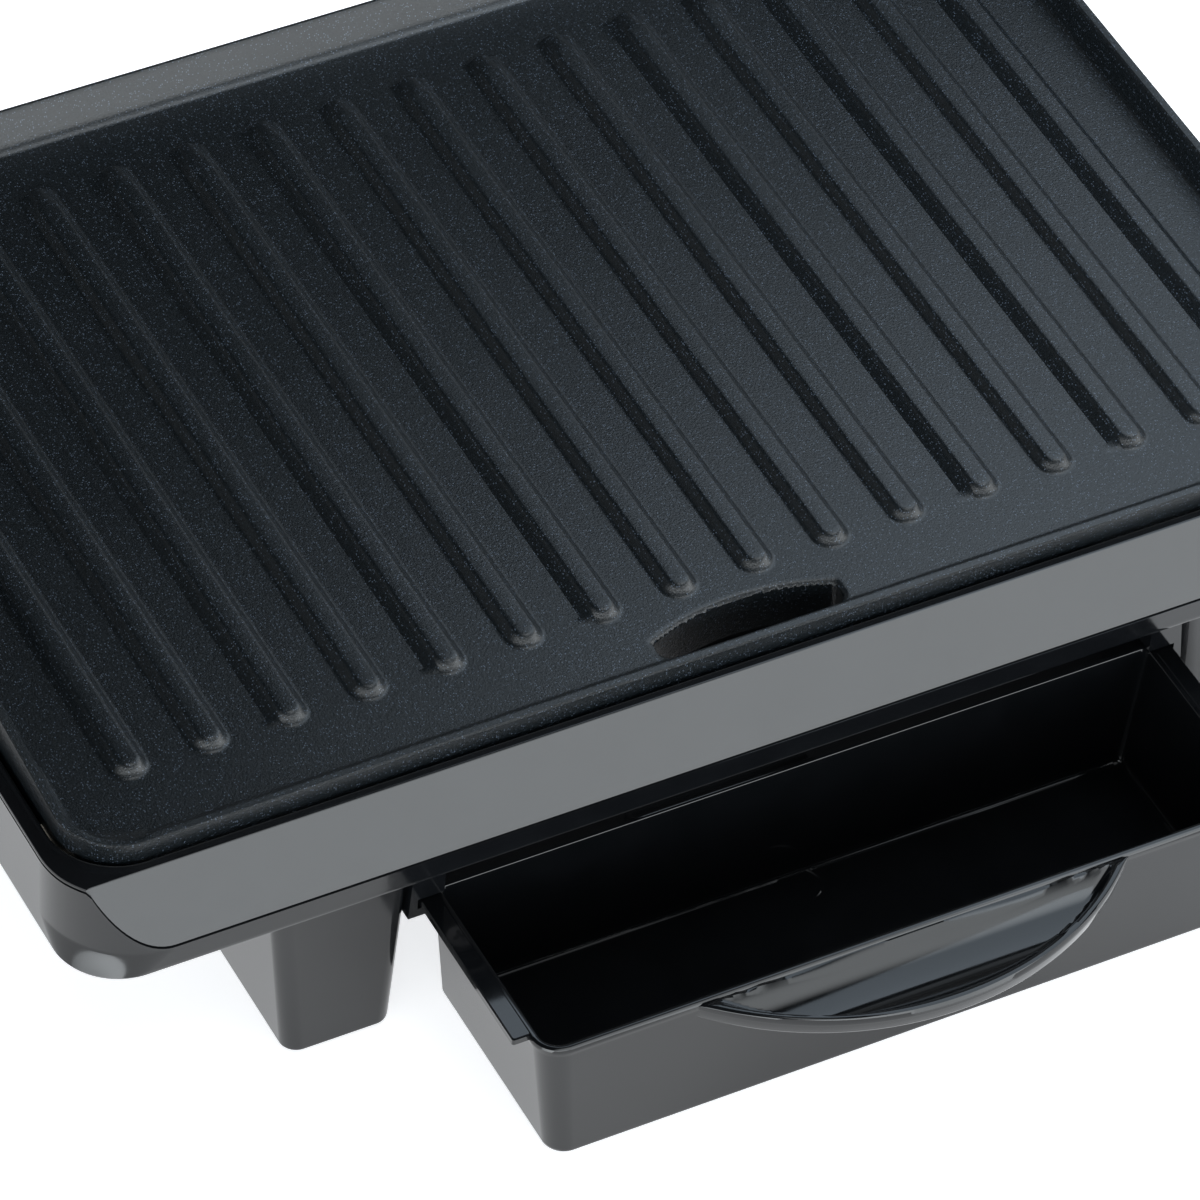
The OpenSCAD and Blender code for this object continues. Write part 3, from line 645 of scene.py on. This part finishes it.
def drawer_body():
    """The drawer's box with its beaded rim, leaning walls and hollow."""
    half = drawer_hi.x - SLIDE_W
    foot = drawer_lo.z
    inner_floor = foot + DRAWER_FLOOR

    def loop(z, grow, r):
        t = (z - foot) / (rim_top - foot)
        w = half - DRAFT * (1 - t) + grow
        y0 = rim_front + FRONT_DRAFT * (1 - t) - grow
        y1 = drawer_back - BACK_DRAFT * (1 - t) + grow
        return at_height(ring(-w, w, y0, y1, r, 14, min(r, BACK_CORNER_R)), z)

    loops = [loop(foot, -1.6, 3.4), loop(foot + 0.25, -0.75, 4.2), loop(foot + 0.9, -0.15, 4.8),
             loop(foot + 1.8, 0, 5)]
    loops += [loop(rim_top - 3.4, -0.6, 6), loop(rim_top - 2.5, -0.6, 6),
              loop(rim_top - 2.2, -0.4, 6.1), loop(rim_top - 1.95, -0.05, 6.3),
              loop(rim_top - 1.3, 0, 6.4), loop(rim_top - 0.7, 0, 6.4),
              loop(rim_top - 0.25, -0.25, 6.2), loop(rim_top, -0.75, 5.8),
              loop(rim_top, -1.25, 5.3), loop(rim_top - 0.2, -1.75, 4.8),
              loop(rim_top - 0.6, -2.0, 4.5), loop(rim_top - 2, -2.05, 4.4)]
    loops += [loop(inner_floor + 1.4, -2.0, 3), loop(inner_floor + 0.45, -2.4, 2.6),
              loop(inner_floor, -3.4, 1.8)]
    return loft(loops)


def handle_edge(s, inset=0.0):
    """Point s of HANDLE_ALONG on the handle's round edge."""
    angle = radians(-HANDLE_REACH + 2 * HANDLE_REACH * s / HANDLE_ALONG)
    r = HANDLE_R - inset
    return r * sin(angle), arc_y - r * cos(angle)


def handle_point(s, t):
    """Point on the handle's top: s along its edge, t from the edge to the drawer."""
    back_y = rim_front + 1.2
    x, edge_y = handle_edge(s)
    k = t / HANDLE_ACROSS
    y = edge_y + (back_y - edge_y) * (k * k * 0.55 + k * 0.45)
    e = HANDLE_R - hypot(x, y - arc_y)
    z = rim_top
    if e < BEAD_R:
        z -= BEAD_R - sqrt(max(BEAD_R ** 2 - (BEAD_R - e) ** 2, 0.0))
    dish_y, dish_z = DISH_AT
    sag = rim_top - (dish_z - sqrt(max(DISH_R ** 2 - (y - dish_y) ** 2, 0.0)))
    if sag > 0:
        z -= sag * smooth((e - BEAD_W) / DISH_BLEND)
    return x, y, min(z, rim_top - HANDLE_DIP * smooth((y - rim_front + 0.9) / 0.9))


def handle():
    """The round lip in front: a beaded edge round a shallow dish, with a flat underside."""
    w = HANDLE_ACROSS + 1
    back_y = rim_front + 1.2
    under = rim_top - HANDLE_T
    cells = [s * w + t for s in range(HANDLE_ALONG) for t in range(HANDLE_ACROSS)]
    verts = [handle_point(s, t) for s in range(HANDLE_ALONG + 1) for t in range(w)]
    faces = [(a, a + w, a + w + 1, a + 1) for a in cells]

    def border(base):
        last_row, last = base + HANDLE_ALONG * w, HANDLE_ACROSS
        return ([base + s * w for s in range(HANDLE_ALONG + 1)]
                + [last_row + t for t in range(1, w)]
                + [base + s * w + last for s in range(HANDLE_ALONG - 1, -1, -1)]
                + [base + t for t in range(last - 1, 0, -1)])

    base, previous = 0, border(0)
    for inset, z in ((0, rim_top - 1.5), (0, rim_top - 1.55), (0.28, rim_top - 1.8),
                     (0.35, rim_top - 2.3), (0.5, under + 0.9), (0.9, under + 0.2), (1.6, under)):
        base = len(verts)
        for s in range(HANDLE_ALONG + 1):
            x, y = handle_edge(s, inset)
            verts += [(x, y + (back_y - y) * t / HANDLE_ACROSS, z) for t in range(w)]
        current = border(base)
        n = len(current)
        faces += [(previous[i], previous[(i + 1) % n], current[(i + 1) % n], current[i])
                  for i in range(n)]
        previous = current
    faces += [(base + a, base + a + 1, base + a + w + 1, base + a + w) for a in cells]
    used = sorted({v for f in faces for v in f})
    index = {v: i for i, v in enumerate(used)}
    return [verts[v] for v in used], [tuple(index[v] for v in f) for f in faces]


def build_drawer():
    body = make("drawer_body", drawer_body())
    parts = [make("drawer_handle", handle())]
    half = drawer_hi.x
    slide_z = (rim_top - SLIDE_T, rim_top - SLIDE_SUNK)
    for side in (-1, 1):
        x0, x1 = sorted((side * (half - SLIDE_W - 0.9), side * half))
        parts.append(make("slide_flange", block(x0, x1, rim_front + SLIDE_START, drawer_back,
                                                *slide_z, 0.6)))
    lip_half = half - SLIDE_W - 0.6
    parts.append(make("back_lip", block(-lip_half, lip_half, drawer_back - 1, drawer_hi.y,
                                        *slide_z, 0.6)))
    turns = [2 * pi * i / GATE_POINTS for i in range(GATE_POINTS)]
    parts.append(make("gate_mark", loft([[(r * cos(a), GATE_Y + r * sin(a), z) for a in turns]
                                         for r, z in GATE_RINGS])))
    combine(body, parts, "UNION")
    soft_normals(body)
    return body


# ---------------------------------------------------------------- legs and knob

LEG_WALL = 2.4
LEG_IN = 4.0
PAD_R = 4.2
PAD_PLAY = 0.2
LEG_SCREW_Y = (62, 90)

KNOB_FLUTES = 12
KNOB_STEPS = 144
FLUTE_DEEP = 0.62
FLUTE_SHARE = 0.62
SHAFT_R = 3.0
SHAFT_TOP_IN = 1.9
POINTER_HALF = 0.55


def leg_shape(node):
    """A hollow tapered leg, upright on its outer face, with a seat for its pad."""
    lo, hi = box_mm(node)
    front = lo.y < 0
    pad_lo, pad_hi = box_mm(node.replace("_leg", "_pad"))

    def loop(z, grow, r):
        t = (z - lo.z) / (hi.z - lo.z)
        lean = LEG_IN * (1 - t)
        x0, x1 = lo.x + lean, hi.x - lean
        y0, y1 = (lo.y, hi.y - lean) if front else (lo.y + lean, hi.y)
        return at_height(ring(x0 - grow, x1 + grow, y0 - grow, y1 + grow, r, 10), z)

    def seat(z):
        return at_height(ring(pad_lo.x - PAD_PLAY, pad_hi.x + PAD_PLAY, pad_lo.y - PAD_PLAY,
                              pad_hi.y + PAD_PLAY, PAD_R, 10), z)

    return loft([seat(lo.z + 1.0), seat(lo.z), loop(lo.z, -1.3, 3), loop(lo.z + 0.2, -0.6, 3.5),
                 loop(lo.z + 0.7, -0.1, 3.9), loop(lo.z + 1.5, 0, 4), loop(hi.z - 0.3, 0, 4),
                 loop(hi.z, -0.2, 3.8), loop(hi.z, -LEG_WALL, 1.8),
                 loop(lo.z + 3.4, -LEG_WALL, 1.8), loop(lo.z + 2.4, -LEG_WALL - 0.8, 1.2)])


def build_leg(node):
    leg = make(node + "_moulding", leg_shape(node))
    lo, hi = box_mm(node)
    mid_x = middle_mm(node).x
    bosses, holes = [], []
    for reach in LEG_SCREW_Y:
        y = reach if lo.y > 0 else -reach
        bosses.append(make("boss", tube(mid_x, y, lo.z + 2.2, hi.z, BOSS_R)))
        holes.append(make("pilot", tube(mid_x, y, hi.z - 17, hi.z + 1, PILOT_R)))
    combine(leg, bosses, "UNION")
    combine(leg, holes, "DIFFERENCE")
    soft_normals(leg)
    return leg


def build_knob():
    lo, hi = box_mm("control_knob")
    cx, cy, _ = middle_mm("control_knob")
    r = (hi.x - lo.x) / 2

    def loop(inset, z, flute):
        """A fluted circle, plain at the back where the pointer is."""
        out = []
        for i in range(KNOB_STEPS):
            a = 2 * pi * i / KNOB_STEPS
            near = abs(((a - pi / 2) * KNOB_FLUTES / (2 * pi) + 0.5) % 1 - 0.5) * 2
            away = abs((a - pi / 2 + pi) % (2 * pi) - pi)
            cut = FLUTE_DEEP * flute * (1 - smooth(near / FLUTE_SHARE))
            rr = r - inset - (cut if away > pi / KNOB_FLUTES else 0)
            out.append((cx + rr * cos(a), cy + rr * sin(a), z))
        return out

    h = hi.z
    loops = [loop(0.5, lo.z, 0.4), loop(0.12, lo.z + 0.15, 0.8), loop(0, lo.z + 0.6, 1),
             loop(0, h - 1.5, 1), loop(0.18, h - 0.9, 0.9), loop(0.6, h - 0.35, 0.6),
             loop(1.3, h - 0.08, 0.2), loop(2.0, h, 0), loop(2.6, h - 0.12, 0),
             loop(r - 4, h - 0.5, 0), loop(r - 1, h - 0.55, 0)]
    knob = make("knob_moulding", loft(loops))
    bore = make("shaft_bore", tube(cx, cy, lo.z - 1, h - SHAFT_TOP_IN, SHAFT_R + 0.01))
    pointer = make("pointer_cut", block(cx - POINTER_HALF, cx + POINTER_HALF, cy + 2.2,
                                        cy + r + 1, h - 0.95, h + 1, 0.3))
    combine(knob, [bore, pointer], "DIFFERENCE")
    soft_normals(knob)
    return knob


# ---------------------------------------------------------------- surfaces

def surface(name, colour, rough, metallic=0.0, second=None, mottle=90.0, wear=0.08, grain=900.0,
            bump=0.0, painted_glints=None, ior=1.5, smear=28.0, transmission=0.0, stretch=(1, 1, 1)):
    """A procedural surface: mottled colour, uneven gloss, fine grain and, if asked for, light
    flecks that are painted glints.

    mottle, smear and grain are how many patches there are in a metre, bump is the grain's
    height in millimetres, and the glint flecks are given as how many in a metre, their share and
    their colour: light spots painted into the base colour as glints.
    """
    mat = bpy.data.materials.new(name)
    mat.use_nodes = True
    nodes, links = mat.node_tree.nodes, mat.node_tree.links
    shader = nodes["Principled BSDF"]
    coords = nodes.new("ShaderNodeTexCoord")
    scaled = nodes.new("ShaderNodeMapping")
    scaled.inputs["Scale"].default_value = stretch
    links.new(coords.outputs["Object"], scaled.inputs["Vector"])

    def noise(scale, detail=4.0, roughness=0.55):
        tex = nodes.new("ShaderNodeTexNoise")
        tex.inputs["Scale"].default_value = scale
        tex.inputs["Detail"].default_value = detail
        tex.inputs["Roughness"].default_value = roughness
        links.new(scaled.outputs["Vector"], tex.inputs["Vector"])
        return tex.outputs["Fac"]

    def ranged(value, a0, a1, b0, b1):
        node = nodes.new("ShaderNodeMapRange")
        for key, v in (("From Min", a0), ("From Max", a1), ("To Min", b0), ("To Max", b1)):
            node.inputs[key].default_value = v
        links.new(value, node.inputs["Value"])
        return node.outputs["Result"]

    def mixed(fac, a, b):
        node = nodes.new("ShaderNodeMix")
        node.data_type = "RGBA"
        links.new(fac, node.inputs["Factor"])
        for key, v in ((6, a), (7, b)):
            if isinstance(v, bpy.types.NodeSocket):
                links.new(v, node.inputs[key])
            else:
                node.inputs[key].default_value = (*v, 1)
        return node.outputs[2]

    second = second or tuple(min(1.0, c * 1.35 + 0.002) for c in colour)
    tone = mixed(ranged(noise(mottle, 6.0), 0.35, 0.68, 0, 1), colour, second)
    patch = noise(smear, 5.0, 0.6)
    fine = noise(grain, 3.0, 0.6)
    gloss = nodes.new("ShaderNodeMath")
    gloss.operation = "ADD"
    links.new(ranged(patch, 0.3, 0.7, rough - wear * 0.5, rough + wear), gloss.inputs[0])
    links.new(ranged(fine, 0.3, 0.7, -wear * 0.4, wear * 0.4), gloss.inputs[1])
    # Painted glints: light flecks mixed into the base colour stand in for the coating's sparkle.
    if painted_glints:
        cell_scale, share, glint_colour = painted_glints
        cells = nodes.new("ShaderNodeTexVoronoi")
        cells.inputs["Scale"].default_value = cell_scale
        links.new(scaled.outputs["Vector"], cells.inputs["Vector"])
        pick = nodes.new("ShaderNodeSeparateColor")
        links.new(cells.outputs["Color"], pick.inputs["Color"])
        glint_pick = ranged(pick.outputs["Red"], 1 - share, 1 - share * 0.6, 0, 1)
        near = ranged(cells.outputs["Distance"], 0.2, 0.42, 1, 0)
        glint_mask = nodes.new("ShaderNodeMath")
        glint_mask.operation = "MULTIPLY"
        links.new(glint_pick, glint_mask.inputs[0])
        links.new(near, glint_mask.inputs[1])
        tone = mixed(glint_mask.outputs[0], tone, glint_colour)
    links.new(tone, shader.inputs["Base Color"])
    links.new(gloss.outputs[0], shader.inputs["Roughness"])
    shader.inputs["Metallic"].default_value = metallic
    shader.inputs["IOR"].default_value = ior
    shader.inputs["Transmission Weight"].default_value = transmission
    if bump:
        relief = nodes.new("ShaderNodeBump")
        relief.inputs["Strength"].default_value = 1.0
        relief.inputs["Distance"].default_value = bump * MM
        links.new(fine, relief.inputs["Height"])
        links.new(relief.outputs["Normal"], shader.inputs["Normal"])
    return mat


def build_surfaces():
    """One surface for each of the record's material slots."""
    black = (0.0032, 0.0036, 0.0043)
    return {
        "gloss_housing": surface("gloss_housing", black, 0.085, bump=0.0012, grain=260, wear=0.05,
                                 second=(0.0044, 0.0049, 0.0058)),
        "gloss_drawer": surface("gloss_drawer", (0.0024, 0.0028, 0.0033), 0.07, bump=0.0012,
                                grain=240, wear=0.05, second=(0.0034, 0.0038, 0.0045)),
        "matt_cover": surface("matt_cover", (0.02, 0.021, 0.023), 0.55, bump=0.02, grain=1400),
        "rubber": surface("rubber", (0.012, 0.012, 0.012), 0.75, bump=0.02, grain=1500,
                          mottle=300),
        # The non-stick's light flecks are painted glints that stand in for its sparkle.
        "nonstick": surface("nonstick", (0.0016, 0.0028, 0.0034), 0.33, bump=0.08, grain=2100,
                            wear=0.05, mottle=1600, second=(0.0045, 0.0068, 0.009), smear=9,
                            painted_glints=(2300, 0.3, (0.06, 0.078, 0.105)), ior=1.55),
        "bright_sheet": surface("bright_sheet", (0.62, 0.62, 0.61), 0.24, metallic=1, bump=0.004,
                                grain=700, wear=0.16, second=(0.52, 0.52, 0.52),
                                stretch=(0.15, 1, 1)),
        "steatite": surface("steatite", (0.72, 0.68, 0.58), 0.6, bump=0.02, grain=1600,
                            mottle=500, second=(0.6, 0.56, 0.47)),
        "tube_sheath": surface("tube_sheath", (0.16, 0.15, 0.14), 0.42, metallic=1, bump=0.01,
                               grain=900, wear=0.2, second=(0.09, 0.075, 0.07), mottle=60),
        "phenolic": surface("phenolic", (0.05, 0.028, 0.016), 0.42, bump=0.01, grain=900,
                            mottle=400, second=(0.03, 0.018, 0.012)),
        "brass": surface("brass", (0.62, 0.42, 0.16), 0.26, metallic=1, bump=0.004, wear=0.14,
                         second=(0.5, 0.33, 0.14)),
        "dial_metal": surface("dial_metal", (0.66, 0.67, 0.68), 0.3, metallic=1, bump=0.004,
                              grain=1200, wear=0.1, stretch=(0.1, 1, 1)),
        "screw_steel": surface("screw_steel", (0.42, 0.42, 0.43), 0.32, metallic=1, bump=0.006,
                               wear=0.16, second=(0.3, 0.3, 0.31)),
        "knob_plastic": surface("knob_plastic", (0.012, 0.013, 0.015), 0.24, bump=0.004,
                                grain=900, wear=0.1),
        "red_lens": surface("red_lens", (0.55, 0.03, 0.015), 0.14, bump=0.002, wear=0.06,
                            transmission=0.45, second=(0.45, 0.02, 0.01)),
        "lamp_glass": surface("lamp_glass", (0.8, 0.72, 0.6), 0.08, transmission=0.7, wear=0.04,
                              second=(0.75, 0.6, 0.45)),
        "tinned_wire": surface("tinned_wire", (0.55, 0.55, 0.54), 0.35, metallic=1, bump=0.004),
        "wire_brown": surface("wire_brown", (0.16, 0.05, 0.02), 0.5, bump=0.01, mottle=300),
        "wire_white": surface("wire_white", (0.6, 0.58, 0.52), 0.6, bump=0.03, grain=2200,
                              mottle=600, second=(0.5, 0.48, 0.42)),
        "wire_blue": surface("wire_blue", (0.03, 0.1, 0.28), 0.5, bump=0.01, mottle=300),
        "wire_green": surface("wire_green", (0.12, 0.3, 0.05), 0.5, bump=0.01, mottle=300,
                              second=(0.5, 0.45, 0.04)),
    }


# ---------------------------------------------------------------- assembly

EDGE_ROUND = 0.25
EDGE_ANGLE = 40

surfaces = build_surfaces()
slots = {part["node"]: part["material_slot"] for part in frame["record"]["subparts"]}
bodies = {node: body for body, nodes in frame["record"]["behaviour"]["bodies"].items()
          for node in nodes}


def dress(obj, material):
    obj.data.materials.clear()
    obj.data.materials.append(material)


def stand_in(obj, node):
    """Puts a built piece in the place of its CAD node, with its body and its surface."""
    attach(obj, bodies[node])
    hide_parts(node)
    dress(obj, surfaces[slots[node]])


def finish_node(obj, node):
    """Gives a CAD node that is shown as it is its surface and softened edges."""
    dress(obj, surfaces[slots[node]])
    edge = obj.modifiers.new("soft edges", "BEVEL")
    edge.width = EDGE_ROUND * MM
    edge.segments = 2
    edge.limit_method = "ANGLE"
    edge.angle_limit = radians(EDGE_ANGLE)
    edge.use_clamp_overlap = True
    edge.harden_normals = False


legs = [node for node in frame["nodes"] if node.endswith("_leg")]
stand_in(build_base(), "base_frame")
stand_in(build_plate(), "grill_plate")
stand_in(build_drawer(), "drip_drawer")
stand_in(build_knob(), "control_knob")
for leg_node in legs:
    stand_in(build_leg(leg_node), leg_node)

rebuilt = {"base_frame", "grill_plate", "drip_drawer", "control_knob", *legs}
for cad_node, cad_obj in frame["nodes"].items():
    if cad_node not in rebuilt:
        finish_node(cad_obj, cad_node)


# ---------------------------------------------------------------- studio

FLOOR_HALF = 6000.0
FLOOR_GLOW = 0.76

# Glow of the surroundings, by side, and how high it reaches
FRONT_GLOW = 4.0
LEFT_GLOW = 2.4
RIGHT_GLOW = 0.8
AROUND_GLOW = 0.2
DARK_GLOW = 0.02
HORIZON_TOP = (0.12, 0.62)
OVERHEAD_GLOW = 3.0
OVERHEAD_EDGE = (0.925, 0.99)

CAMERA_TURN = -29.756
CAMERA_TILT = 44.799
CAMERA_ROLL = -3.753
CAMERA_AT = (-0.644976, -1.139473, 1.294669)
CAMERA_LENS = 249.4


def emitter(nodes, colour, strength):
    glow = nodes.new("ShaderNodeEmission")
    glow.inputs["Color"].default_value = (*colour, 1)
    glow.inputs["Strength"].default_value = strength
    return glow


def build_floor():
    corners = [(x * FLOOR_HALF, y * FLOOR_HALF, 0) for x, y in ((-1, -1), (1, -1), (1, 1), (-1, 1))]
    floor = make("studio_floor", (corners, [(0, 1, 2, 3)]))
    mat = bpy.data.materials.new("floor_paper")
    mat.use_nodes = True
    nodes, links = mat.node_tree.nodes, mat.node_tree.links
    nodes.remove(nodes["Principled BSDF"])
    paper = nodes.new("ShaderNodeBsdfDiffuse")
    paper.inputs["Color"].default_value = (0.8, 0.8, 0.8, 1)
    add = nodes.new("ShaderNodeAddShader")
    links.new(paper.outputs[0], add.inputs[0])
    links.new(emitter(nodes, (0.97, 0.98, 1.0), FLOOR_GLOW).outputs[0], add.inputs[1])
    links.new(add.outputs[0], nodes["Material Output"].inputs["Surface"])
    dress(floor, mat)


def build_world():
    """A studio all round: bright low in front, brighter to the left, dark overhead and behind."""
    world = bpy.data.worlds.new("studio")
    bpy.context.scene.world = world
    world.use_nodes = True
    nodes, links = world.node_tree.nodes, world.node_tree.links
    coords = nodes.new("ShaderNodeTexCoord")
    direction = nodes.new("ShaderNodeSeparateXYZ")
    links.new(coords.outputs["Generated"], direction.inputs[0])

    def facing(vector, lo, hi, top):
        """A lobe of glow round a direction: nothing under the cosine lo, all of it over hi."""
        dot = nodes.new("ShaderNodeVectorMath")
        dot.operation = "DOT_PRODUCT"
        links.new(coords.outputs["Generated"], dot.inputs[0])
        dot.inputs[1].default_value = Vector(vector).normalized()
        node = nodes.new("ShaderNodeMapRange")
        node.interpolation_type = "SMOOTHSTEP"
        node.inputs["From Min"].default_value = lo
        node.inputs["From Max"].default_value = hi
        node.inputs["To Max"].default_value = top
        links.new(dot.outputs["Value"], node.inputs["Value"])
        return node.outputs["Result"]

    def math(op, a, b):
        node = nodes.new("ShaderNodeMath")
        node.operation = op
        for socket, v in zip(node.inputs, (a, b)):
            if isinstance(v, bpy.types.NodeSocket):
                links.new(v, socket)
            else:
                socket.default_value = v
        return node.outputs[0]

    low = nodes.new("ShaderNodeMapRange")
    low.interpolation_type = "SMOOTHSTEP"
    low.inputs["From Min"].default_value = HORIZON_TOP[1]
    low.inputs["From Max"].default_value = HORIZON_TOP[0]
    links.new(direction.outputs["Z"], low.inputs["Value"])
    front = facing((0.1, -1, 0), -0.35, 0.75, FRONT_GLOW)
    left = facing((-0.75, -0.65, 0.05), 0.35, 0.95, LEFT_GLOW)
    right = facing((0.9, -0.4, 0.1), 0.4, 0.98, RIGHT_GLOW)
    sides = math("ADD", math("ADD", math("ADD", front, left), right), AROUND_GLOW)
    above = facing((0.22, -0.22, 0.95), *OVERHEAD_EDGE, OVERHEAD_GLOW)
    total = math("ADD", math("ADD", math("MULTIPLY", sides, low.outputs["Result"]), above),
                 DARK_GLOW)
    background = nodes["Background"]
    background.inputs["Color"].default_value = (0.92, 0.97, 1.0, 1)
    links.new(total, background.inputs["Strength"])


def area_light(name, at, turn, size, power, mirrored=True, colour=(1, 1, 1)):
    """A soft rectangular light that shines straight down, turned about the vertical."""
    data = bpy.data.lights.new(name, "AREA")
    data.shape = "RECTANGLE"
    data.size, data.size_y = size
    data.energy = power
    data.color = colour
    obj = bpy.data.objects.new(name, data)
    bpy.context.scene.collection.objects.link(obj)
    obj.location = at
    obj.rotation_euler = (0, 0, radians(turn))
    obj.visible_glossy = mirrored
    obj.visible_camera = False



def build_camera():
    """The camera at the photograph's place: turned, tilted and slightly rolled."""
    az, el, roll = radians(CAMERA_TURN), radians(CAMERA_TILT), radians(CAMERA_ROLL)
    forward = Vector((-sin(az) * cos(el), cos(az) * cos(el), -sin(el)))
    right = forward.cross(Vector((0, 0, 1))).normalized()
    down = forward.cross(right)
    turned_right = right * cos(roll) + down * sin(roll)
    turned_down = down * cos(roll) - right * sin(roll)
    data = bpy.data.cameras.new("camera")
    data.lens = CAMERA_LENS
    data.sensor_width = 36.0
    data.clip_end = 60.0
    obj = bpy.data.objects.new("camera", data)
    bpy.context.scene.collection.objects.link(obj)
    axes = Matrix((turned_right, -turned_down, -forward)).transposed().to_4x4()
    obj.matrix_world = Matrix.Translation(Vector(CAMERA_AT)) @ axes
    bpy.context.scene.camera = obj


build_floor()
build_world()
area_light("ceiling_fill", (0.2, -0.3, 2.2), 0, (2.4, 2.4), 18.0, mirrored=False)
area_light("softbox_right", (0.42, 0.10, 0.40), 25, (0.7, 0.44), 1.9,
           colour=(0.74, 0.87, 1.0))
build_camera()
bpy.context.scene.view_settings.view_transform = "Standard"
